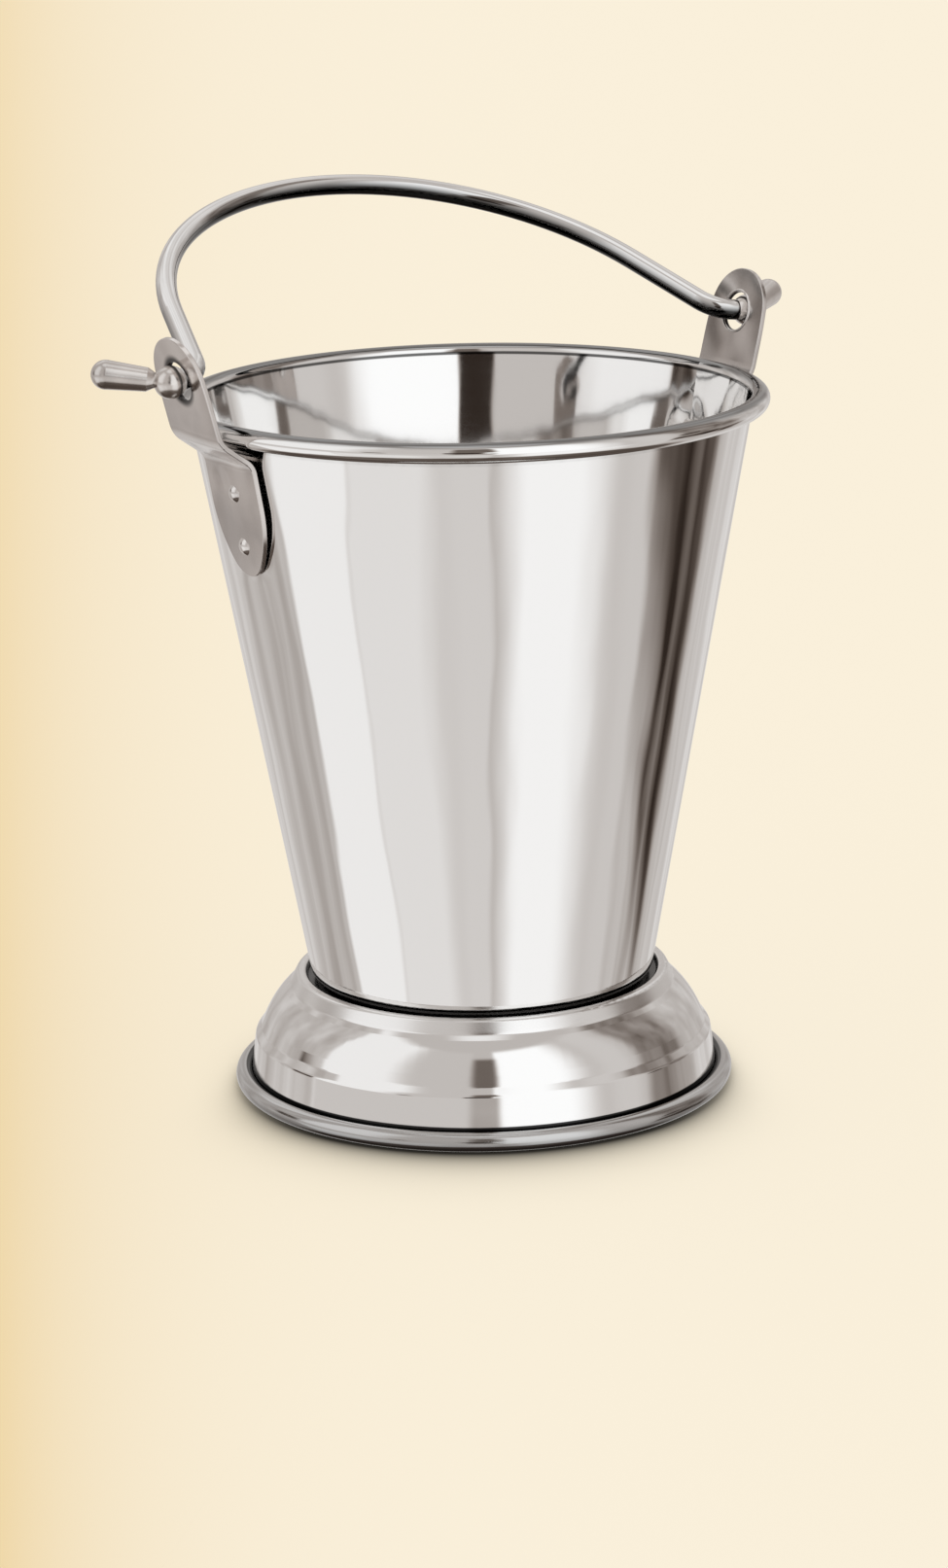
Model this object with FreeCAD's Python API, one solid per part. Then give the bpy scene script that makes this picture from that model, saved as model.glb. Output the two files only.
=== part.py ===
import FreeCAD, Part
import math
import os
from FreeCAD import Vector

# Serving bucket of polished stainless steel sheet, with a raised foot and a swinging bail.
# Sizes are in millimetres and angles in degrees. The origin is on the bucket's axis, on the
# plane that it stands on. Z is up, and the bail's pivot axis lies along X.

# Body: one spun sheet with a conical wall, a floor and a rim rolled outwards
rim_outer_d = 120.0
rim_tube_d = 4.0
rim_top_z = 143.9
body_sheet_t = 0.8
wall_lean_deg = 10.35
floor_corner_r = 3.0
rim_curl_end_deg = -125.0

# Foot: one spun ring with a flange inside, a collar, a bell, a band and a rolled bead
foot_flare_w = 16.5
foot_tube_d = 3.9
foot_sheet_t = 0.8
foot_land_depth = 0.1
foot_curl_end_deg = 128.0
seat_z = 22.4
flange_w = 8.0
flange_corner_r = 0.3
collar_gap = 0.9
collar_h = 1.2
collar_inner_r = 0.8
collar_outer_r = 1.0
collar_flat_w = 2.2
valley_w = 1.4
valley_drop = 2.7
valley_r = 0.9
bell_top_w = 3.7
bell_top_drop = 3.5
bell_r = 20.0
ledge_w = 1.2
ledge_drop = 1.5
step_concave_r = 1.4
step_convex_r = 1.2
band_top_z = 10.5
band_lean_deg = 8.0

# Ear straps: one bent strip of sheet on each side
strap_t = 1.0
strap_w = 18.4
strap_edge_r = 0.2
strap_seat_gap = 0.05
ear_pivot_out = 6.5
ear_pivot_up = 9.2
ear_lean_deg = 15.0
ear_top_r = 8.9
ear_side_r = 60.0
ear_hole_d = 7.8
ear_hole_edge_r = 0.4
ear_bend_r = 5.0
shelf_down = 7.2
shelf_rise_deg = 35.0
tongue_bend_r = 3.5
tongue_tip_down = 31.0
tongue_tip_r = 6.2
tongue_side_r = 22.0

# Rivets: two on each strap, with a domed head outside and a flat button inside
rivet_shank_d = 2.4
rivet_hole_clearance = 0.05
rivet_head_d = 3.6
rivet_head_h = 0.9
rivet_tail_d = 3.8
rivet_tail_h = 0.7
rivet_tail_bevel = 0.3
rivet_seat_gap = 0.05
rivet_pitch = 11.0

# Bail: a round rod bent to an arch, with flared legs and an elbow at each ear
bail_rod_d = 4.2
bail_arch_rise = 8.2
bail_leg_flare_deg = 16.0
bail_elbow_r = 7.5
bail_end_l = 7.3
bail_end_slope_deg = 12.0
bail_rest_lean_deg = 67.0
bail_spigot_d = 2.6
bail_spigot_l = 3.4

# End knobs: a ball and a round-ended bar, turned in one piece and pressed on the rod's end
knob_ball_out = 2.4
knob_ball_d = 6.5
knob_neck_d = 3.0
knob_bar_inner_d = 4.7
knob_bar_outer_d = 5.8
knob_shoulder_at = 4.5
knob_chamfer_l = 1.5
knob_reach = 15.4
knob_back_deg = 33.0
knob_rise_deg = 8.0
knob_bore_extra = 0.2

# How far a cutter runs past what it cuts
cut_overrun = 4.0

# Names for whole turns and directions
full_turn_deg = 360.0
square_deg = 90.0
half_turn_deg = 180.0
side_names = {-1: "left", 1: "right"}
axis_x = Vector(1, 0, 0)
axis_y = Vector(0, 1, 0)
axis_z = Vector(0, 0, 1)
origin = Vector(0, 0, 0)

# Sizes that follow from the ones above
wall_lean = math.radians(wall_lean_deg)
wall_up = Vector(math.sin(wall_lean), 0, math.cos(wall_lean))
wall_out = Vector(math.cos(wall_lean), 0, -math.sin(wall_lean))
rim_tube_r = rim_tube_d / 2
rim_centre = Vector(rim_outer_d / 2 - rim_tube_r, 0, rim_top_z - rim_tube_r)
wall_top = rim_centre - wall_out * (rim_tube_r - body_sheet_t)
foot_tube_r = foot_tube_d / 2
pivot = Vector(0, 0, rim_top_z + ear_pivot_up)
ear_pivot = pivot + axis_x * (rim_outer_d / 2 + ear_pivot_out)
ear_lean = math.radians(ear_lean_deg)
ear_up = Vector(math.sin(ear_lean), 0, math.cos(ear_lean))
ear_out = Vector(math.cos(ear_lean), 0, -math.sin(ear_lean))
bail_rod_r = bail_rod_d / 2
bail_end_slope = math.radians(bail_end_slope_deg)
bail_end_along = Vector(math.cos(bail_end_slope), 0, -math.sin(bail_end_slope))
knob_ball_r = knob_ball_d / 2
knob_shoulder = math.sqrt(knob_ball_r ** 2 - bail_rod_r ** 2)
knob_ball = ear_pivot + axis_x * knob_ball_out


def polar(angle_deg, radius, centre=origin):
    """A point in the XZ plane, at an angle from the X axis round a centre."""
    angle = math.radians(angle_deg)
    return centre + Vector(radius * math.cos(angle), 0, radius * math.sin(angle))


def wall_point(z):
    """The point of the wall's outer face, in the XZ plane, at a height."""
    return wall_top + wall_up * ((z - wall_top.z) / wall_up.z)


# Places on the wall: the body's edge on the foot, and the lowest point of a strap's back
floor_edge = wall_point(seat_z)
foot_outer_r = floor_edge.x + foot_flare_w
foot_centre = Vector(foot_outer_r - foot_tube_r, 0, foot_tube_r - foot_land_depth)
tongue_tip = wall_point(rim_top_z - tongue_tip_down) + wall_out * strap_seat_gap


def meet(point_a, along_a, point_b, along_b):
    """Where two lines in the XZ plane cross."""
    cross = along_a.x * along_b.z - along_a.z * along_b.x
    gap = point_b - point_a
    return point_a + along_a * ((gap.x * along_b.z - gap.z * along_b.x) / cross)


def rounded_path(points, radii):
    """Straight runs through the points, with a tangent arc of the given radius at each inner one."""
    edges = []
    start = points[0]
    for index, radius in enumerate(radii, 1):
        corner = points[index]
        along_in = (corner - points[index - 1]).normalize()
        along_out = (points[index + 1] - corner).normalize()
        half_turn = along_in.getAngle(along_out) / 2
        reach = radius * math.tan(half_turn)
        inward = (along_out - along_in).normalize()
        middle = corner + inward * (radius / math.cos(half_turn) - radius)
        arc_start = corner - along_in * reach
        arc_end = corner + along_out * reach
        edges.append(Part.LineSegment(start, arc_start).toShape())
        edges.append(Part.Arc(arc_start, middle, arc_end).toShape())
        start = arc_end
    edges.append(Part.LineSegment(start, points[-1]).toShape())
    return edges


def curl(start, centre, radius, start_deg, end_deg):
    """The arc of a rolled edge, from the end of the wall round the roll's centre."""
    middle = polar((start_deg + end_deg) / 2, radius, centre)
    return Part.Arc(start, middle, polar(end_deg, radius, centre)).toShape()


def spun_sheet(edges, thickness):
    """A sheet of even thickness that follows an outline, spun round the bucket's axis."""
    section = Part.Wire(edges).makeOffset2D(thickness, fill=True, openResult=True)
    return section.revolve(origin, axis_z, full_turn_deg)


def mirrored(shape, side):
    """The right-hand piece as it is, or its mirror image for the left-hand side."""
    if side > 0:
        return shape
    return shape.mirror(origin, axis_x)


def rivet_places():
    """The points on the tongue's back, in the XZ plane, where the rivets go through."""
    lower = tongue_tip + wall_up * tongue_tip_r
    return {"lower": lower, "upper": lower + wall_up * rivet_pitch}


def rivet_hole(place):
    """A cutter for one rivet hole, long enough for the strap and the wall."""
    reach = strap_t + body_sheet_t + cut_overrun
    radius = rivet_shank_d / 2 + rivet_hole_clearance
    return Part.makeCylinder(radius, 2 * reach, place - wall_out * reach, wall_out)


def body_shell():
    """Floor, corner, conical wall and the rim's curl, with the straps' rivet holes."""
    edges = rounded_path([Vector(0, 0, seat_z), floor_edge, wall_top], [floor_corner_r])
    start_deg = half_turn_deg - wall_lean_deg
    edges.append(curl(wall_top, rim_centre, rim_tube_r - body_sheet_t, start_deg, rim_curl_end_deg))
    shell = spun_sheet(edges, body_sheet_t)
    for side in side_names:
        for place in rivet_places().values():
            shell = shell.cut(mirrored(rivet_hole(place), side))
    return shell


def pedestal_foot():
    """Inner flange, collar, valley, bell, step, band and the rolled bead that stands on the table."""
    band_lean = math.radians(band_lean_deg)
    band_out = Vector(math.cos(band_lean), 0, math.sin(band_lean))
    band_down = Vector(math.sin(band_lean), 0, -math.cos(band_lean))
    roll_r = foot_tube_r - foot_sheet_t
    band_foot = foot_centre - band_out * roll_r
    band_top = band_foot + band_down * ((band_top_z - band_foot.z) / band_down.z)
    step = band_top + Vector(-ledge_w, 0, ledge_drop)
    collar_z = seat_z + collar_h
    collar_x = wall_point(collar_z).x + collar_gap
    collar_edge_x = collar_x + collar_flat_w
    valley = Vector(collar_edge_x + valley_w, 0, collar_z - valley_drop)
    shoulder = valley + Vector(bell_top_w, 0, -bell_top_drop)
    points = [floor_edge - axis_x * flange_w,
              Vector(collar_x, 0, seat_z),
              Vector(collar_x, 0, collar_z),
              Vector(collar_edge_x, 0, collar_z),
              valley, shoulder, step, band_top, band_foot]
    radii = [flange_corner_r, collar_inner_r, collar_outer_r, valley_r,
             bell_r, step_concave_r, step_convex_r]
    edges = rounded_path(points, radii)
    start_deg = half_turn_deg + band_lean_deg
    edges.append(curl(band_foot, foot_centre, roll_r, start_deg, full_turn_deg + foot_curl_end_deg))
    foot = spun_sheet(edges, -foot_sheet_t)
    below = Part.makeCylinder(foot_outer_r, foot_tube_d, origin, -axis_z)
    return foot.cut(below)


def strap_outline(centre, tip_r, side_r, along, outwards):
    """A block with a rounded end, to trim a bent strip with: a tip arc runs into two flatter ones."""
    half_w = strap_w / 2
    length = strap_w + ear_pivot_up + tongue_tip_down
    slope = math.acos((side_r - half_w) / (side_r - tip_r))
    fall = (side_r - tip_r) * math.sin(slope)
    corners = []
    for side in side_names:
        across = axis_y * side
        side_centre = centre + across * (half_w - side_r) - along * fall
        shoulder = across * math.cos(slope / 2) + along * math.sin(slope / 2)
        corners.append([centre + (across * math.cos(slope) + along * math.sin(slope)) * tip_r,
                        side_centre + shoulder * side_r,
                        side_centre + across * side_r,
                        centre + across * half_w - along * length])
    edges = [Part.Arc(corners[0][0], centre + along * tip_r, corners[1][0]).toShape()]
    for touch, shoulder, widest, far in corners:
        edges.append(Part.Arc(touch, shoulder, widest).toShape())
        edges.append(Part.LineSegment(widest, far).toShape())
    edges.append(Part.LineSegment(corners[0][-1], corners[1][-1]).toShape())
    face = Part.Face(Part.Wire(Part.sortEdges(edges)[0]))
    face.translate(-outwards * length)
    return face.extrude(outwards * 2 * length)


def outline_edges(strap):
    """The long edges of a strap's two broad faces, without the short ones across its thickness."""
    return [edge for edge in strap.Edges if edge.Length > 2 * strap_t]


def hole_edges(strap):
    """The two round edges of the pivot hole."""
    return [edge for edge in strap.Edges if abs(edge.Length - math.pi * ear_hole_d) < strap_t]


def ear_bracket(side):
    """The bent strap: a tongue on the wall, a shelf under the rim and an ear with the pivot hole."""
    shelf_rise = math.radians(shelf_rise_deg)
    shelf_along = Vector(math.cos(shelf_rise), 0, math.sin(shelf_rise))
    shelf_start = wall_point(rim_top_z - shelf_down) + wall_out * strap_seat_gap
    ear_back = ear_pivot - ear_out * (strap_t / 2)
    shelf_end = meet(shelf_start, shelf_along, ear_back, ear_up)
    ear_end = ear_back + ear_up * (ear_top_r + strap_t)
    tongue_end = tongue_tip - wall_up * strap_t
    edges = rounded_path([tongue_end, shelf_start, shelf_end, ear_end],
                         [tongue_bend_r + strap_t, ear_bend_r])
    section = Part.Wire(edges).makeOffset2D(-strap_t, fill=True, openResult=True)
    section.translate(-axis_y * (strap_w / 2))
    strip = section.extrude(axis_y * strap_w)
    ear_shape = strap_outline(ear_pivot, ear_top_r, ear_side_r, ear_up, ear_out)
    tip_centre = tongue_tip + wall_up * tongue_tip_r
    tongue_shape = strap_outline(tip_centre, tongue_tip_r, tongue_side_r, -wall_up, wall_out)
    strap = strip.common(ear_shape).common(tongue_shape)
    strap = strap.makeFillet(strap_edge_r, outline_edges(strap))
    hole = Part.makeCylinder(ear_hole_d / 2, 2 * strap_t, ear_pivot - ear_out * strap_t, ear_out)
    strap = strap.cut(hole)
    strap = strap.makeFillet(ear_hole_edge_r, hole_edges(strap))
    for place in rivet_places().values():
        strap = strap.cut(rivet_hole(place))
    return mirrored(strap, side)


def rivet(place, side):
    """A rivet through strap and wall, with its head outside and its button against the inner wall."""
    grip = strap_t + strap_seat_gap + body_sheet_t + rivet_seat_gap
    head_r = rivet_head_d / 2
    shank_r = rivet_shank_d / 2
    tail_r = rivet_tail_d / 2
    tail_end = -grip - rivet_tail_h
    dome_r = (head_r ** 2 + rivet_head_h ** 2) / (2 * rivet_head_h)
    dome_deg = math.degrees(math.asin(head_r / dome_r))
    dome_centre = Vector(0, 0, rivet_head_h - dome_r)
    top = Vector(0, 0, rivet_head_h)
    corners = [Vector(head_r, 0, 0), Vector(shank_r, 0, 0), Vector(shank_r, 0, -grip),
               Vector(tail_r, 0, -grip), Vector(tail_r, 0, tail_end + rivet_tail_bevel),
               Vector(tail_r - rivet_tail_bevel, 0, tail_end), Vector(0, 0, tail_end), top]
    edges = [Part.Arc(top, polar(square_deg - dome_deg / 2, dome_r, dome_centre), corners[0]).toShape()]
    edges += [Part.LineSegment(a, b).toShape() for a, b in zip(corners, corners[1:])]
    piece = Part.Face(Part.Wire(edges)).revolve(origin, axis_z, full_turn_deg)
    seat = place + wall_out * strap_t
    piece.Placement = FreeCAD.Placement(seat, FreeCAD.Rotation(axis_z, wall_out))
    return mirrored(piece, side)


def swung(shape):
    """A piece of the bail, drawn upright over the pivot axis, leaned back to its rest place."""
    return shape.rotate(pivot, axis_x, -bail_rest_lean_deg)


def bail_rod():
    """The arch, its flared legs and elbows, and the turned-down spigots that carry the knobs."""
    arch_centre = pivot + axis_z * bail_arch_rise
    elbow = knob_ball - bail_end_along * bail_end_l
    arch_r = (elbow - arch_centre).dot(polar(bail_leg_flare_deg, 1))
    arch_end = polar(bail_leg_flare_deg, arch_r, arch_centre)
    rod_end = knob_ball - bail_end_along * knob_shoulder
    right = rounded_path([arch_end, elbow, rod_end], [bail_elbow_r])
    left = [edge.mirror(origin, axis_x) for edge in reversed(right)]
    arch_start = polar(half_turn_deg - bail_leg_flare_deg, arch_r, arch_centre)
    arch_top = arch_centre + axis_z * arch_r
    arch = Part.Arc(arch_start, arch_top, arch_end).toShape()
    section = Part.Wire(Part.Circle(arch_top, axis_x, bail_rod_r).toShape())
    rod = Part.Wire(left + [arch] + right).makePipeShell([section], True, False)
    spigot = Part.makeCylinder(bail_spigot_d / 2, bail_spigot_l, rod_end, bail_end_along)
    for side in side_names:
        rod = rod.fuse(mirrored(spigot, side))
    return swung(rod)


def end_knob(side):
    """Ball and bar on the rod's end: the ball is bored for the spigot, the bar points out and back."""
    neck_r = knob_neck_d / 2
    inner_r = knob_bar_inner_d / 2
    outer_r = knob_bar_outer_d / 2
    round_centre = Vector(0, 0, knob_reach - outer_r)
    corners = [origin, Vector(neck_r, 0, 0), Vector(neck_r, 0, knob_shoulder_at - knob_chamfer_l),
               Vector(inner_r, 0, knob_shoulder_at), round_centre + axis_x * outer_r]
    top = Vector(0, 0, knob_reach)
    edges = [Part.LineSegment(a, b).toShape() for a, b in zip(corners, corners[1:])]
    edges.append(Part.Arc(corners[-1], polar(square_deg / 2, outer_r, round_centre), top).toShape())
    edges.append(Part.LineSegment(top, origin).toShape())
    bar = Part.Face(Part.Wire(edges)).revolve(origin, axis_z, full_turn_deg)
    knob = bar.fuse(Part.makeSphere(knob_ball_r))
    back = math.radians(knob_back_deg)
    rise = math.radians(knob_rise_deg)
    bar_along = Vector(math.cos(back) * math.cos(rise), math.sin(back) * math.cos(rise), math.sin(rise))
    knob.Placement = FreeCAD.Placement(knob_ball, FreeCAD.Rotation(axis_z, bar_along))
    rod_end = knob_ball - bail_end_along * knob_shoulder
    seat = Part.makeCylinder(bail_rod_r, cut_overrun, rod_end, -bail_end_along)
    bore = Part.makeCylinder(bail_spigot_d / 2, bail_spigot_l + knob_bore_extra, rod_end, bail_end_along)
    knob = knob.cut(swung(seat.fuse(bore)))
    return mirrored(knob, side)


nodes = {"body_shell": body_shell(), "pedestal_foot": pedestal_foot(), "bail_rod": bail_rod()}
for side, side_name in side_names.items():
    nodes[side_name + "_ear_bracket"] = ear_bracket(side)
    nodes[side_name + "_end_knob"] = end_knob(side)
    for rivet_name, place in rivet_places().items():
        nodes[side_name + "_" + rivet_name + "_rivet"] = rivet(place, side)

os.makedirs("parts", exist_ok=True)
for name, shape in nodes.items():
    shape.exportStep("parts/" + name + ".step")
    print(name, shape.isValid(), len(shape.Solids), round(shape.Volume, 1))
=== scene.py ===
# %% [markdown]
# # A serving bucket of polished steel
# The bucket's solids come packed from its construction, in metres, and they stay where they are.
# This lesson gives them their finish: mirror-polished sheet, satin straps and turned knobs. On
# polished metal nearly all that the eye sees is the studio, so the studio is built with care too.

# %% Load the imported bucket
import math
import bpy
from mathutils import Matrix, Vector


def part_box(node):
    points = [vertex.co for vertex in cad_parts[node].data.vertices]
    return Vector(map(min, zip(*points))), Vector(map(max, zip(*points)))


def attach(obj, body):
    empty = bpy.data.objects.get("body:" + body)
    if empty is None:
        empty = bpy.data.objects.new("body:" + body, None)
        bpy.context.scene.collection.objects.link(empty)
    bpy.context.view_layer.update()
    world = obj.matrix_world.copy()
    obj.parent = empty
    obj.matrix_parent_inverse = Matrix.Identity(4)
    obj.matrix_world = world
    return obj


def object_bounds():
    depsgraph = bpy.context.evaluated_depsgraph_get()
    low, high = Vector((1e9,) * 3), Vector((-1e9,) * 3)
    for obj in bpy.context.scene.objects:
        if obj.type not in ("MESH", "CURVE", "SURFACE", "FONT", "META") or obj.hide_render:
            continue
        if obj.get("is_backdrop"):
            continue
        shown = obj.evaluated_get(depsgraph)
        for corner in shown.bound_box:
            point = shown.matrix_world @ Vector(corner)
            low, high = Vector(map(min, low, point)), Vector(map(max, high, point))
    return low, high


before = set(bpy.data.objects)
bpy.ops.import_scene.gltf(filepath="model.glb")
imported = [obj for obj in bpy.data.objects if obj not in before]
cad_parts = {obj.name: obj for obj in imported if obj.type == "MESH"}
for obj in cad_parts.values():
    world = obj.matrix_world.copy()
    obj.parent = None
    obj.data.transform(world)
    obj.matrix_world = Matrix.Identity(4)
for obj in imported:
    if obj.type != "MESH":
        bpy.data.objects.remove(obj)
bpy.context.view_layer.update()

# %% [markdown]
# ## Camera
# The bucket was photographed from a little above, with a long lens, and turned so that the left
# ear comes forward. The camera is built in the picture's own terms: how far it stands away, how
# high, how much it looks down and how much it leans. Then all of it turns round the bucket.

# %% Camera
view_turn = math.radians(33.0)
camera_away = 0.9393
camera_up = 0.3076
camera_aside = -0.0009
camera_down = math.radians(14.64)
camera_lean = math.radians(1.13)
camera_lens_mm = 108.75

camera_data = bpy.data.cameras.new("camera")
camera_data.lens = camera_lens_mm
camera = bpy.data.objects.new("camera", camera_data)
bpy.context.scene.collection.objects.link(camera)
stand = Matrix.Translation((camera_aside, -camera_away, camera_up))
aim = Matrix.Rotation(math.pi / 2 - camera_down, 4, "X") @ Matrix.Rotation(-camera_lean, 4, "Z")
camera.matrix_world = Matrix.Rotation(-view_turn, 4, "Z") @ stand @ aim
bpy.context.scene.camera = camera
bpy.context.scene.view_settings.view_transform = "Standard"
print("camera at", [round(c, 3) for c in camera.matrix_world.translation])

# %% [markdown]
# ## Shader maths in plain signs
# A shader tree is a sum written as boxes and wires. Two small classes let the sums be written as
# sums: one wraps a socket and understands + - * and /, the other adds any node by its type.

# %% A socket that does sums
class Signal:
    """A socket that can be added, multiplied and divided with numbers and other signals."""

    def __init__(self, shader, socket):
        self.shader = shader
        self.socket = socket

    def maths(self, operation, *others):
        """Any operation of the Math node, by its name."""
        inputs = dict(enumerate([self, *others]))
        return self.shader.node("ShaderNodeMath", {"operation": operation}, inputs)["Value"]

    def __add__(self, other):
        return self.maths("ADD", other)

    def __sub__(self, other):
        return self.maths("SUBTRACT", other)

    def __mul__(self, other):
        return self.maths("MULTIPLY", other)

    def __truediv__(self, other):
        return self.maths("DIVIDE", other)

    def __rsub__(self, other):
        return self * -1 + other

    __radd__ = __add__
    __rmul__ = __mul__


# %% A tree that nodes are added to
class Tree:
    """A node tree that nodes are added to by their type, settings and inputs."""

    def __init__(self, tree):
        self.tree = tree

    def node(self, kind, settings={}, inputs={}):
        """A new node's outputs by name. A list of signals joins them all to one input."""
        made = self.tree.nodes.new(kind)
        for name, value in settings.items():
            setattr(made, name, value)
        for name, value in inputs.items():
            for part in value if isinstance(value, list) else [value]:
                if isinstance(part, Signal):
                    self.tree.links.new(part.socket, made.inputs[name])
                else:
                    made.inputs[name].default_value = part
        return {socket.name: Signal(self, socket) for socket in made.outputs if socket.enabled}

    def smooth(self, signal, low, high, at_low=0.0, at_high=1.0):
        """A soft step from one value to another, as the signal goes from low to high."""
        inputs = {"Value": signal, "From Min": low, "From Max": high,
                  "To Min": at_low, "To Max": at_high}
        settings = {"interpolation_type": "SMOOTHSTEP"}
        return self.node("ShaderNodeMapRange", settings, inputs)["Result"]

    def band(self, signal, low, low_soft, high, high_soft):
        """1 between two soft edges, and 0 past them."""
        rise = self.smooth(signal, low - low_soft, low + low_soft)
        return rise * self.smooth(signal, high - high_soft, high + high_soft, 1, 0)

    def axes(self, coordinate):
        """The three numbers of one of the Texture Coordinate node's outputs."""
        place = self.node("ShaderNodeTexCoord")[coordinate]
        parts = self.node("ShaderNodeSeparateXYZ", inputs={0: place})
        return parts["X"], parts["Y"], parts["Z"]

    def vector(self, x, y, z):
        """Three numbers joined to a vector."""
        return self.node("ShaderNodeCombineXYZ", inputs={0: x, 1: y, 2: z})["Vector"]

    def noise(self, place, scale, detail=2.0):
        """A cloudy pattern between 0 and 1."""
        inputs = {"Vector": place, "Scale": scale, "Detail": detail}
        return self.node("ShaderNodeTexNoise", inputs=inputs)["Fac"]

    def grow(self, colour, factor):
        """A colour made brighter or darker by a number."""
        inputs = {0: colour, "Scale": factor}
        return self.node("ShaderNodeVectorMath", {"operation": "SCALE"}, inputs)["Vector"]

    def tint(self, colour_a, colour_b, factor):
        """A blend of two colours."""
        inputs = {0: factor, 6: colour_a, 7: colour_b}
        return self.node("ShaderNodeMix", {"data_type": "RGBA"}, inputs)["Result"]

    def either(self, factor, first, second):
        """The first shader where the factor is 0, the second where it is 1."""
        return self.node("ShaderNodeMixShader", inputs={0: factor, 1: first, 2: second})["Shader"]


# %% Small helpers
def empty_material(name):
    """A new material without nodes, and its tree."""
    material = bpy.data.materials.new(name)
    material.use_nodes = True
    material.node_tree.nodes.clear()
    return material, Tree(material.node_tree)


def turned_to_camera(x, y):
    """The places across and towards the camera, from the X and Y of the bucket."""
    across = x * math.cos(view_turn) - y * math.sin(view_turn)
    front = x * -math.sin(view_turn) - y * math.cos(view_turn)
    return across, front


def distance(a, b):
    """How far a point lies from the middle, from its places along two axes."""
    return (a * a + b * b).maths("SQRT")


print("helpers: sums on sockets, trees, an empty material and two measures")

# %% [markdown]
# ## The studio that the metal shows
# Polished metal has no look of its own: its walls show whatever stands round it. Here that is a
# grey tent with about two dozen cards and panels. The wall leans outwards, so it shows the cards
# below the horizon, and the foot and the inside show the ones above it.
#
# Each card has its left and right edges in degrees round the bucket, with the camera at 0 and
# positive turns to its right, then the softness of these two edges, its lower and upper edges in
# degrees of climb, and its brightness. A later card lies over an earlier one.

# %% Cards and panels of the studio
tent_brightness = 0.56
climb_soft = 2.5
wall_ring = (-70, -12)
foot_ring = (-12, 60)
cards = {"back_screen": (-186, -150, 4, 12, *wall_ring, 0.70),
         "left_stand": (-120, -112, 5, 5, *wall_ring, 0.44),
         "left_screen": (-95, -57, 2, 2, *wall_ring, 0.95),
         "front_screen": (-57, -16, 2, 12, *wall_ring, 0.83),
         "front_gap": (-16, 7, 12, 2, *wall_ring, 0.71),
         "key_panel": (16, 60, 10, 16, *wall_ring, 1.02),
         "right_screen": (68, 88, 12, 3, *wall_ring, 0.66),
         "doorway": (87, 125, 4, 4, -26.5, -12, 0.09),
         "far_corner": (108, 113, 4, 3, -26.5, -12, 0.04),
         "right_back_screen": (140, 186, 14, 4, *wall_ring, 0.68),
         "left_window": (-93, -44, 2, 14, *foot_ring, 0.95),
         "left_wall": (-44, -8, 12, 2, *foot_ring, 0.60),
         "left_low": (-93, -8, 2, 3, -12, 3, 0.64),
         "window": (8, 52, 2, 12, *foot_ring, 1.12),
         "right_wall": (62, 84, 10, 6, *foot_ring, 0.66),
         "passage": (90, 120, 4, 6, *foot_ring, 0.24),
         "back_window": (-150, -120, 4, 4, *foot_ring, 0.55),
         "left_flag": (-108, -94, 2, 1, -2, 14, 0.10),
         "right_flag": (88, 98, 2, 1, -5, 2, 0.04),
         "dark_strip": (-43, -36, 2, 2, 2, 7, 0.08),
         "front_opening": (-6.5, 8.5, 3, 3, -2, 52, 0.16),
         "window_sill": (4.5, 14, 1.5, 2, 4, 15, 1.12),
         "opening_core": (-10.5, 4, 1.5, 1.5, 4, 14, 0.01),
         "roof_panel": (-190, 190, 1, 1, 74, 100, 0.95),
         "high_panel_left": (-186, -130, 4, 6, 28, 58, 0.85),
         "high_panel_right": (130, 186, 6, 4, 28, 58, 0.75)}
print("studio:", len(cards), "cards and panels")

# %% Hang the cards round the bucket
world = bpy.data.worlds.new("studio")
bpy.context.scene.world = world
world.use_nodes = True
world.node_tree.nodes.clear()
studio = Tree(world.node_tree)
x, y, z = studio.axes("Generated")
across, front = turned_to_camera(x, y)
turn = across.maths("ARCTAN2", front).maths("DEGREES")
climb = z.maths("ARCSINE").maths("DEGREES")
brightness = tent_brightness
for left, right, left_soft, right_soft, low, high, level in cards.values():
    mask = studio.band(turn, left, left_soft, right, right_soft)
    mask = mask * studio.band(climb, low, climb_soft, high, climb_soft)
    brightness = brightness + mask * (level - brightness)
print("world:", len(world.node_tree.nodes), "nodes so far")

# %% [markdown]
# ## Clutter beyond the cards
# A real room is never empty, and a mirror that shows nothing looks like plastic. Past the sides of
# the bucket a cloudy pattern breaks up the tent and its cards, in tall and narrow shapes. It stays
# off the front, where each card has its own place.

# %% Clutter
clutter_per_turn = 0.10
clutter_per_climb = 0.05
clutter_slice = 3.0
clutter_from = 90
clutter_full = 100
clutter_strength = 0.6
darkest = 0.03

place = studio.vector(turn * clutter_per_turn, climb * clutter_per_climb, clutter_slice)
clutter = studio.noise(place, 1.0) - 0.5
beyond = studio.smooth(turn.maths("ABSOLUTE"), clutter_from, clutter_full)
brightness = (brightness + clutter * beyond * clutter_strength).maths("MAXIMUM", darkest)
print("clutter: from", clutter_from, "degrees off the camera")

# %% [markdown]
# ## Dim light below, and plain light for everything else
# Straight down the tent is dim, which gives the beads and the knobs their dark undersides. Dark
# places in steel look warm, so green and blue fall off a little faster than red. The cards are
# seen only in the metal. Past the end of the floor the camera sees the floor's own cream, and
# every other ray meets plain even white.

# %% Dim below, and the world's three faces
cream = (0.955, 0.869, 0.708, 1)
white = (1, 1, 1, 1)
dim_low = -50
dim_high = -39
dim_level = 0.16
green_fall = 1.10
blue_fall = 1.17


def light_of(colour):
    """A background of one colour or pattern, at a strength of 1."""
    inputs = {"Color": colour, "Strength": 1.0}
    return studio.node("ShaderNodeBackground", inputs=inputs)["Background"]


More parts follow.
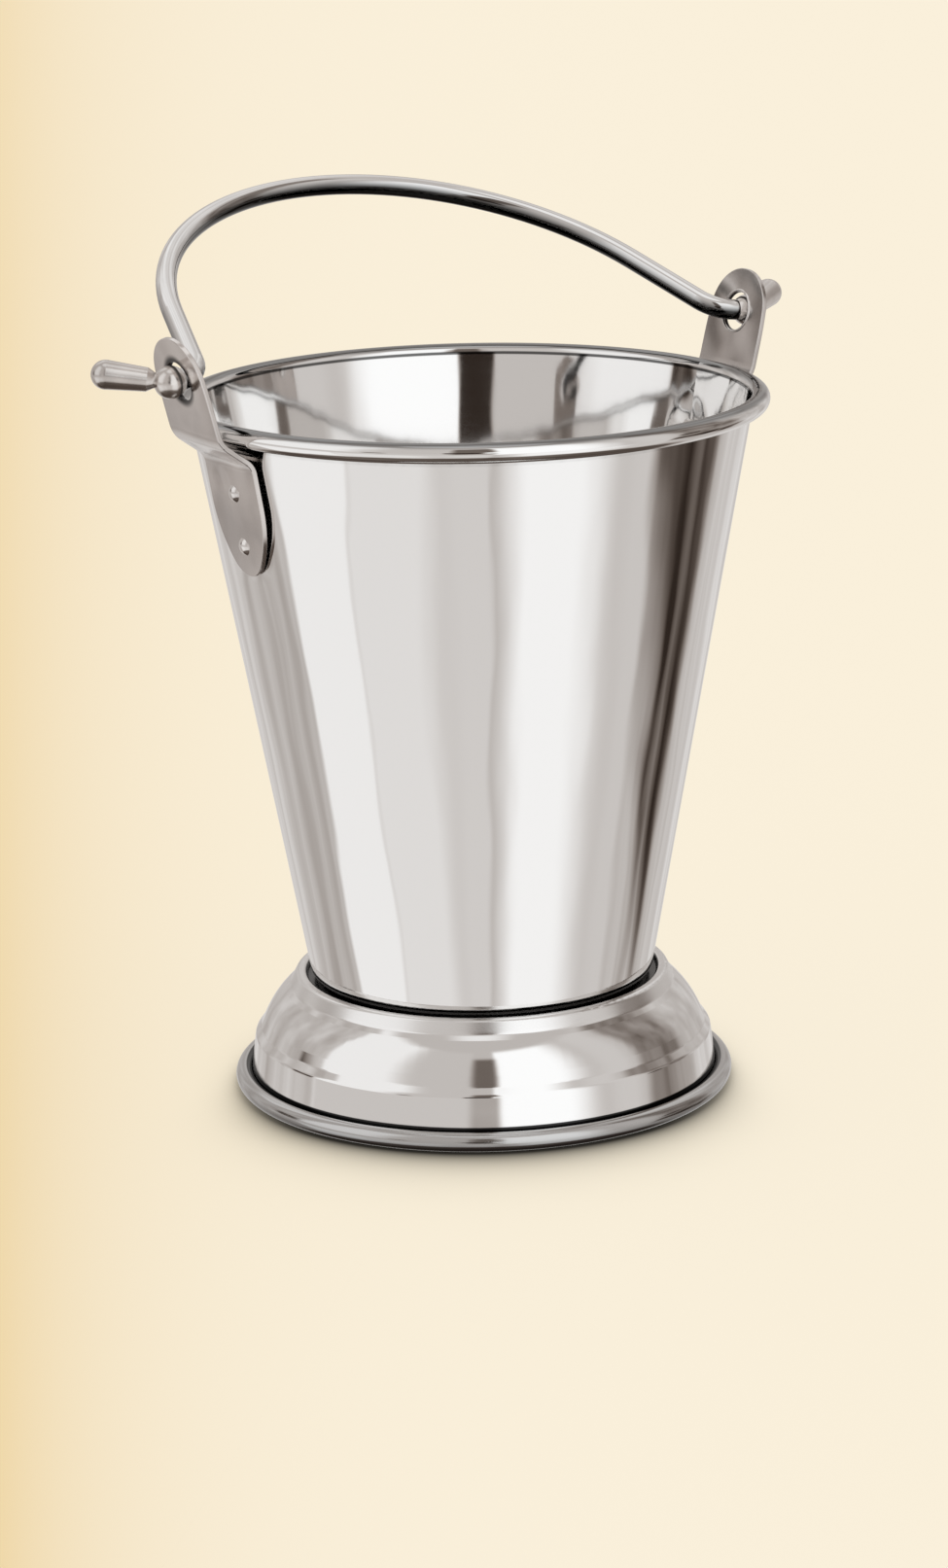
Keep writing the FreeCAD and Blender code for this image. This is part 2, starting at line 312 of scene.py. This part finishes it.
brightness = brightness * studio.smooth(climb, dim_low, dim_high, dim_level, 1)
green = brightness.maths("POWER", green_fall)
blue = brightness.maths("POWER", blue_fall)
shown = studio.vector(brightness, green, blue)
path = studio.node("ShaderNodeLightPath")
around = studio.either(path["Is Glossy Ray"], light_of(white), light_of(shown))
around = studio.either(path["Is Camera Ray"], around, light_of(cream))
studio.node("ShaderNodeOutputWorld", inputs={"Surface": around})
print("world: dimmed to", dim_level, "below", dim_low, "degrees of climb")

# %% [markdown]
# ## Floor
# The floor is one sheet of cream paper that runs out of sight behind the bucket. The metal doesn't
# show it, as it wouldn't in a picture that is cut out and laid on paper.

# %% A sheet of paper
floor_reach = 6.0

bpy.ops.mesh.primitive_plane_add(size=2 * floor_reach)
floor = bpy.context.object
floor.name = "floor"
floor.visible_glossy = False
paper, sheet = empty_material("cream_paper")
x, y, z = sheet.axes("Object")
across, front = turned_to_camera(x, y)
print("floor:", 2 * floor_reach, "m wide")

# %% [markdown]
# A painted warm light tints the paper at the left edge of the set. It is brightest along a
# straight line that starts a metre in front of the bucket and runs away to the left of it. From
# that line the light dies away like an echo, fast towards the bucket and slowly to the other side.

# %% Painted warm light on the left
painted_glow_colour = (0.858, 0.668, 0.369, 1)
painted_glow_tip = 1.0197
painted_glow_edge = -0.1035
painted_glow_fade = 0.0258
painted_glow_far_fade = 0.16

gap = across / (painted_glow_tip - front) - painted_glow_edge
fade = (gap * (-1 / painted_glow_fade)).maths("MINIMUM", gap * (1 / painted_glow_far_fade))
colour = sheet.tint(cream, painted_glow_colour, fade.maths("EXPONENT"))
print("painted_glow: its line starts", painted_glow_tip, "m in front of the bucket")

# %% [markdown]
# The paper takes a painted soft shadow of the base that falls forwards, as from a light behind and
# above. Its strength follows the distance from the foot's edge. That distance is measured with the
# depth squashed, so the shadow reaches further to the front than to the sides.

# %% Painted shadow of the foot
foot_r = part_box("pedestal_foot")[1].x
shadow_squash = 0.303
shadow_fade = 0.0023
shadow_depth = 0.95
shadow_depth_behind = 0.10
shadow_from = -0.2
shadow_full = 0.8
middle = 0.1

round_across = across * (1 / foot_r)
round_front = front * (1 / foot_r)
ring = distance(round_across, round_front).maths("MAXIMUM", middle)
steepness = distance(round_across * (1 / foot_r), round_front * (1 / (foot_r * shadow_squash)))
off_edge = ((ring - 1) / (steepness / ring)).maths("MAXIMUM", 0)
fall = (off_edge * (-1 / shadow_fade)).maths("EXPONENT")
shadow = fall * sheet.smooth(round_front, shadow_from, shadow_full,
                             shadow_depth_behind, shadow_depth)
print("shadow: round a foot of radius", round(1000 * foot_r, 1), "mm")

# %% [markdown]
# Right under the bead the paper is darker still, which Ambient Occlusion finds. Most of the sheet
# gives its colour as light of its own, so that it stays even from edge to edge. A small share is
# matt paper, which takes the studio's light.

# %% Finish of the paper
nook_reach = 0.010
nook_rays = 8
nook_shade = 0.35
matt_share = 0.12

nook = sheet.node("ShaderNodeAmbientOcclusion", {"samples": nook_rays}, {"Distance": nook_reach})
shade = (1 - shadow) * sheet.smooth(nook["AO"], 0, 1, nook_shade, 1)
shaded = sheet.grow(colour, shade)
lit = sheet.node("ShaderNodeEmission", inputs={"Color": shaded, "Strength": 1.0})["Emission"]
matt = sheet.node("ShaderNodeBsdfDiffuse", inputs={"Color": shaded})["BSDF"]
sheet.node("ShaderNodeOutputMaterial", inputs={"Surface": sheet.either(matt_share, lit, matt)})
floor.data.materials.append(paper)
floor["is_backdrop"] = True
print("paper:", matt_share, "matt")

# %% [markdown]
# ## One steel, three finishes
# All pieces are of stainless steel. What differs is the last tool that touched them: a polishing
# mop on the spun sheet and the rod, a finer belt on the straps, a file and emery on the knobs. So
# one function mixes the metal, and each finish passes it a colour, a gloss, a relief and a shade.
# The shade holds random tone and painted shade, which can follow how far a surface faces up.

# %% Steel with a finish
def facing_up(shader):
    """1 where the surface faces straight up, 0 where it is upright and -1 where it faces down."""
    normal = shader.node("ShaderNodeNewGeometry")["Normal"]
    return shader.node("ShaderNodeSeparateXYZ", inputs={0: normal})["Z"]


def steel(name, colour, gloss, relief, shade):
    """A metal with its colour, and functions for roughness, relief in metres, and tone with
    painted shade.
    """
    material, shader = empty_material(name)
    x, y, z = shader.axes("Object")
    relief_inputs = {"Height": relief(shader, x, y, z), "Distance": 1.0}
    bump = shader.node("ShaderNodeBump", inputs=relief_inputs)
    inputs = {"Base Color": shader.grow(colour, shade(shader, x, y, z)), "Metallic": 1.0,
              "Roughness": gloss(shader, x, y, z), "Normal": bump["Normal"]}
    surface = shader.node("ShaderNodeBsdfPrincipled", inputs=inputs)["BSDF"]
    shader.node("ShaderNodeOutputMaterial", inputs={"Surface": surface})
    return material

# %% [markdown]
# ## The spun wall
# A spun wall is never quite even. The roller leaves slow waves, and mop marks run round it. The
# waves bend the straight cards of the studio, which is what tells the eye that this is sheet and
# not plastic. The hammer leaves a dimple round each rivet, and there the cards curl up.

# %% Sizes of the body
bead_d = 0.004
bead_r = bead_d / 2
sheet_t = 0.0008
wall_lean = math.radians(10.35)
rim_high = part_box("body_shell")[1]
bead_low = rim_high.z - bead_d
wall_top_r = rim_high.x - bead_r - (bead_r - sheet_t) * math.cos(wall_lean)
rivet_boxes = [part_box(f"right_{place}_rivet") for place in ("upper", "lower")]
rivet_heights = [(low.z + high.z) / 2 for low, high in rivet_boxes]
print("wall: outer radius under the rim", round(1000 * wall_top_r, 1), "mm")

# %% Relief of the wall
wave_depth = 0.0016
wave_scale = 20.0
patterns = {"slow waves": (wave_depth, wave_scale, 0.6),
            "ripples": (0.00035, 60.0, 0.3),
            "fine streaks": (0.00005, 190.0, 0.12)}
dimple_r = 0.008
dimple_depth = 0.0005


def round_mark(shader, y, z, mark_y, mark_z, radius):
    """A soft round spot below an ear, 1 at its middle and 0 at its edge."""
    return shader.smooth(distance(y - mark_y, z - mark_z), 0, radius, 1, 0)


def wall_relief(shader, x, y, z):
    """Patterns that are longer up the wall than round it, and a dimple at each rivet."""
    relief = 0
    for depth, scale, squeeze in patterns.values():
        relief = relief + shader.noise(shader.vector(x, y, z * squeeze), scale, 1.0) * depth
    for height in rivet_heights:
        relief = relief + round_mark(shader, y, z, 0.0, height, dimple_r) * dimple_depth
    return relief

# %% Gloss of the wall
mop_mirror = 0.018
mop_wear = 0.035
mop_ring_scale = 900.0
inside_dull = 0.030


def mop_gloss(shader, x, y, z):
    """A mirror with faint rings of wear."""
    rings = shader.noise(shader.vector(distance(x, y), 0.0, z), mop_ring_scale)
    return rings * mop_wear + mop_mirror


def out_of_wall(x, y, z):
    """How far a point lies out from the wall's outer face, level with it."""
    return distance(x, y) - wall_top_r - (z - bead_low) * math.tan(wall_lean)


def inside_wall(shader, x, y, z):
    """1 on the wall's inner face and 0 on its outer one."""
    return shader.smooth(out_of_wall(x, y, z), -0.8 * sheet_t, -0.4 * sheet_t, 1, 0)


def wall_gloss(shader, x, y, z):
    """Duller inside, where the mop doesn't reach as well."""
    inside = inside_wall(shader, x, y, z) * shader.smooth(z, bead_low, rim_high.z, 1, 0)
    return mop_gloss(shader, x, y, z) + inside * inside_dull

# %% [markdown]
# Three thin lines on the body are painted nearly black, as shade: the seams outside at the foot's
# collar and under the rim's bead, and the line inside below the lip. The crown of the bead, and
# every face that looks up, is painted dimmer, as shade.

# %% Shade of the wall
collar_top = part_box("pedestal_foot")[1].z
seam_painted_shade = 0.95
collar_seam_h = 0.0010
rim_seam_h = 0.0011
lip_shadow_low = rim_high.z - 0.515 * bead_d
lip_shadow_high = rim_high.z - 0.365 * bead_d
lip_shadow_soft = 0.035 * bead_d
lip_shadow_dark = 0.85
crown_from = 0.45
crown_full = 0.85
crown_shade = 0.30


def wall_shade(shader, x, y, z):
    """Painted shade: dark seams outside, a dark line inside below the lip, and a dimmer crown."""
    outside = shader.smooth(out_of_wall(x, y, z), -0.6 * sheet_t, -0.2 * sheet_t)
    # painted shade in the seams at the collar and under the rim's bead
    collar_seam = shader.smooth(z, collar_top + collar_seam_h,
                                collar_top + 1.2 * collar_seam_h, 1, 0)
    rim_seam = shader.band(z, bead_low - 0.85 * rim_seam_h, 0.15 * rim_seam_h,
                           bead_low + 0.1 * rim_seam_h, 0.1 * rim_seam_h)
    seams = outside * collar_seam.maths("MAXIMUM", rim_seam) * seam_painted_shade
    # painted shadow inside, below the lip
    lip_shadow = shader.band(z, lip_shadow_low, lip_shadow_soft, lip_shadow_high, lip_shadow_soft)
    lip_shadow = lip_shadow * inside_wall(shader, x, y, z) * lip_shadow_dark
    # painted shade on faces that look up
    crown = shader.smooth(facing_up(shader), crown_from, crown_full, 1, crown_shade)
    return (1 - seams) * (1 - lip_shadow) * crown


mirror_colour = (0.87, 0.86, 0.85)
wall_steel = steel("wall_steel", mirror_colour, wall_gloss, wall_relief, wall_shade)
print("wall: seam at the collar up to", round(1000 * (collar_top + collar_seam_h), 1), "mm")

# %% [markdown]
# ## The spun foot
# The foot looks heavier than the wall, because its curves gather the whole room. Its seams are
# painted black too, as shade: the lip beside the body, and the groove between the band and the
# bead. The bead and the collar are left duller than the mirror between them. The bead is painted
# dimmer all over, and dimmer still below, as shade where it meets the table.

# %% Relief and gloss of the foot
foot_bead_d = 0.0039
foot_bead_r = foot_r - foot_bead_d / 2
groove_h = 0.0003
foot_wave_scale = 2 * wave_scale
foot_wave_depth = 0.2 * wave_depth
foot_dull = 0.03
bead_dull = 0.07
collar_dull = 0.16


def foot_relief(shader, x, y, z):
    """Shorter and shallower waves than on the wall."""
    return shader.noise(shader.vector(x, y, z), foot_wave_scale, 1.0) * foot_wave_depth


def foot_gloss(shader, x, y, z):
    """The bead and the collar are left duller than the mirror between them."""
    on_bead = shader.smooth(z, foot_bead_d, foot_bead_d + groove_h, bead_dull, 0.0)
    on_collar = shader.smooth(z, 0.86 * collar_top, 0.92 * collar_top, 0.0, collar_dull)
    return mop_gloss(shader, x, y, z) + on_bead + on_collar + foot_dull

# %% Shade of the foot
collar_inner_r = 0.0361
collar_round = 0.0003
table_shade = 0.10
bead_shade = 0.66


def foot_shade(shader, x, y, z):
    """Painted shade at the lip, in the groove above the bead, over the bead and at the table."""
    radius = distance(x, y)
    above = shader.smooth(z, foot_bead_d + groove_h, foot_bead_d + 1.6 * groove_h)
    beyond = shader.smooth(radius, foot_bead_r - groove_h, foot_bead_r - 0.3 * groove_h)
    # painted shade in the groove above the bead
    groove = 1 - above.maths("MAXIMUM", beyond)
    # painted shade at the lip beside the body
    lip = shader.smooth(radius, collar_inner_r + collar_round,
                        collar_inner_r + 1.8 * collar_round, 1, 0)
    lip = lip * shader.smooth(z, 0.9 * collar_top, 0.95 * collar_top)
    # painted shade at the table, and over the whole bead
    low_shade = shader.smooth(z, 0, 0.7 * foot_bead_d, table_shade, 1)
    low_shade = low_shade * shader.smooth(z, foot_bead_d, 1.1 * foot_bead_d, bead_shade, 1)
    return low_shade * (1 - groove.maths("MAXIMUM", lip) * seam_painted_shade)


foot_steel = steel("foot_steel", mirror_colour, foot_gloss, foot_relief, foot_shade)
print("foot: bead centred", round(1000 * foot_bead_r, 1), "mm out")

# %% [markdown]
# ## Rod, straps, knobs and rivets
# The straps are belt-ground and only half polished: their colour is a cloudy grey, and they blur
# what they show. The knobs are a little brighter, the rivets' hammered heads brighter still, and
# the rod is as bright as the wall. The functions here return functions, so that one recipe serves
# several finishes with numbers of their own.

# %% Recipes for the small pieces
file_scale = 160.0
grain_scale = 500.0
grain_squeeze = 6
cloud_low = 0.3
cloud_high = 0.7


def filed(depth):
    """The small unevenness of a filed and buffed piece."""
    def relief(shader, x, y, z):
        return shader.noise(shader.vector(x, y, z), file_scale, 1.0) * depth
    return relief


def grained(value, spread):
    """A roughness with a fine grain along the strap."""
    def gloss(shader, x, y, z):
        grain = shader.noise(shader.vector(x, y * grain_squeeze, z), grain_scale)
        return grain * spread + value
    return gloss


def cloudy(scale, low, high):
    """A shade that drifts between two values."""
    def shade(shader, x, y, z):
        cloud = shader.noise(shader.vector(x, y, z), scale, 3.0)
        return shader.smooth(cloud, cloud_low, cloud_high, low, high)
    return shade

# %% [markdown]
# The press leaves slow waves in the straps, and a hammer has left a shallow dent beside the upper
# rivet. Round each pivot hole the ear's outer face is painted dark, as shade from the knob's ball.

# %% Relief and shade of the straps
strap_wave_scale = 60.0
strap_wave_depth = 0.0011
dent_y = 0.0040
dent_z = 0.1320
dent_r = 0.0036
dent_depth = 0.00022
pivot_out = 0.0665
pivot_high = 0.1531
ear_lean = math.radians(15)
ball_shade = 0.9
ball_shade_r = 0.0042
ball_shade_end_r = 0.0056
inner_face_from = -0.00048
inner_face_to = -0.00034


def strap_relief(shader, x, y, z):
    """The slow waves that the press leaves, and a shallow dent beside the upper rivet."""
    waves = shader.noise(shader.vector(x, y, z), strap_wave_scale, 1.0) * strap_wave_depth
    return waves - round_mark(shader, y, z, dent_y, dent_z, dent_r) * dent_depth


def strap_shade(shader, x, y, z):
    """Cloudy grey, and painted shade round the ball of the knob, on the ear's outer face."""
    rise = z - pivot_high
    out_of_sheet = x.maths("ABSOLUTE") - pivot_out - rise * math.tan(ear_lean)
    outer = shader.smooth(out_of_sheet, inner_face_from, inner_face_to)
    # painted shade round the knob's ball, on the outer face only
    ball_shade_mask = shader.smooth(distance(rise, y), ball_shade_r, ball_shade_end_r, ball_shade, 0)
    return cloudy(55.0, 0.76, 1.06)(shader, x, y, z) * (1 - ball_shade_mask * outer)

# %% [markdown]
# The rod is painted nearly black below, as shade where it faces the dim bucket and the table.
# Towards the top the painted shade clears.

# %% Shade of the rod
rod_painted_shade_from = -0.2
rod_painted_shade_end = 0.75
rod_painted_shade = 0.05


def rod_shade(shader, x, y, z):
    """Painted shade: nearly black below, clearing towards the top."""
    # painted shade: darker the more the rod faces down
    clear = shader.smooth(facing_up(shader), rod_painted_shade_from, rod_painted_shade_end, rod_painted_shade, 1)
    return clear * cloudy(60.0, 0.94, 1.0)(shader, x, y, z)

# %% Give each piece its finish
buffed_depth = 0.00004
drawn_depth = 0.00001
strap_steel = steel("strap_steel", (0.74, 0.70, 0.675), grained(0.10, 0.10),
                    strap_relief, strap_shade)
knob_steel = steel("knob_steel", (0.76, 0.72, 0.69), grained(0.20, 0.03),
                   filed(buffed_depth), cloudy(120.0, 0.85, 1.0))
rod_steel = steel("rod_steel", mirror_colour, grained(0.03, 0.02),
                  filed(drawn_depth), rod_shade)
rivet_steel = steel("rivet_steel", (0.80, 0.77, 0.75), grained(0.08, 0.08),
                    filed(buffed_depth), cloudy(120.0, 0.92, 1.0))
finishes = {"body": wall_steel, "foot": foot_steel, "rod": rod_steel, "bracket": strap_steel,
            "knob": knob_steel, "rivet": rivet_steel}
for name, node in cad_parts.items():
    finish = next(finishes[key] for key in finishes if key in name)
    node.data.materials.clear()
    node.data.materials.append(finish)
    print(name, "->", finish.name)

# %% [markdown]
# ## The lips of the pivot holes
# The punch turns up a small lip round each pivot hole, on the ear's inner face, and it catches
# the light. It could be cut on a lathe of points by hand, but a lip is only a small round section
# that follows a circle, so Geometry Nodes sweep it, and every size of it stays open to change.

# %% Inputs of the sweep
lip_sizes = {"Hole radius": 0.0040, "Lip radius": 0.0003, "Half sheet": 0.00045,
             "Lean": ear_lean, "Pivot out": pivot_out, "Pivot height": pivot_high}
swept = bpy.data.node_groups.new("pivot_hole_lips", "GeometryNodeTree")
keys = {}
for name in lip_sizes:
    size_input = swept.interface.new_socket(name, in_out="INPUT", socket_type="NodeSocketFloat")
    keys[name] = size_input.identifier
swept.interface.new_socket("Geometry", in_out="OUTPUT", socket_type="NodeSocketGeometry")
print("sweep: inputs", ", ".join(lip_sizes))

# %% Sweep the lips
circle_steps = 64
section_steps = 12
lips = Tree(swept)
size = lips.node("NodeGroupInput")


def ring_curve(steps, radius):
    """A circle of straight steps."""
    inputs = {"Resolution": steps, "Radius": radius}
    return lips.node("GeometryNodeCurvePrimitiveCircle", inputs=inputs)["Curve"]


def moved(geometry, place=(0, 0, 0), turn=(0, 0, 0)):
    """The geometry turned and then moved."""
    inputs = {"Geometry": geometry, "Translation": lips.vector(*place),
              "Rotation": lips.vector(*turn)}
    return lips.node("GeometryNodeTransform", inputs=inputs)["Geometry"]


round_hole = ring_curve(circle_steps, size["Hole radius"] + size["Lip radius"])
section = ring_curve(section_steps, size["Lip radius"])
sweep_inputs = {"Curve": round_hole, "Profile Curve": section}
lip = lips.node("GeometryNodeCurveToMesh", inputs=sweep_inputs)["Mesh"]
inner_face = moved(lip, (0, 0, size["Half sheet"] * -1))
right_ear = moved(inner_face, (size["Pivot out"], 0, size["Pivot height"]),
                  (0, size["Lean"] + math.pi / 2, 0))
both_ears = [right_ear, moved(right_ear, turn=(0, 0, math.pi))]
joined = lips.node("GeometryNodeJoinGeometry", inputs={"Geometry": both_ears})["Geometry"]
whole = lips.node("GeometryNodeRealizeInstances", inputs={"Geometry": joined})["Geometry"]
finish_inputs = {"Geometry": whole, "Material": rivet_steel}
finished = lips.node("GeometryNodeSetMaterial", inputs=finish_inputs)["Geometry"]
lips.node("NodeGroupOutput", inputs={"Geometry": finished})
print("sweep:", len(swept.nodes), "nodes")

# %% [markdown]
# The sweep is a modifier on an empty mesh. What it makes is copied into a plain mesh, which the
# export can read, and that piece rides on the bucket with the ears.

# %% Turn the sweep into a plain mesh
carrier = bpy.data.objects.new("lip_carrier", bpy.data.meshes.new("empty"))
bpy.context.scene.collection.objects.link(carrier)
sweep = carrier.modifiers.new("sweep", "NODES")
sweep.node_group = swept
for name, value in lip_sizes.items():
    sweep[keys[name]] = value
evaluated = carrier.evaluated_get(bpy.context.evaluated_depsgraph_get())
swept_mesh = bpy.data.meshes.new_from_object(evaluated)
bpy.data.objects.remove(carrier)
swept_mesh.shade_smooth()
pivot_lips = bpy.data.objects.new("pivot_hole_lips", swept_mesh)
bpy.context.scene.collection.objects.link(pivot_lips)
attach(pivot_lips, "bucket")
print("lips:", len(swept_mesh.polygons), "faces")

# %% [markdown]
# ## Sizes
# The box round the finished bucket is measured over every piece that is shown, leaving out the
# backdrop.

# %% Sizes of the finished bucket
low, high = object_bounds()
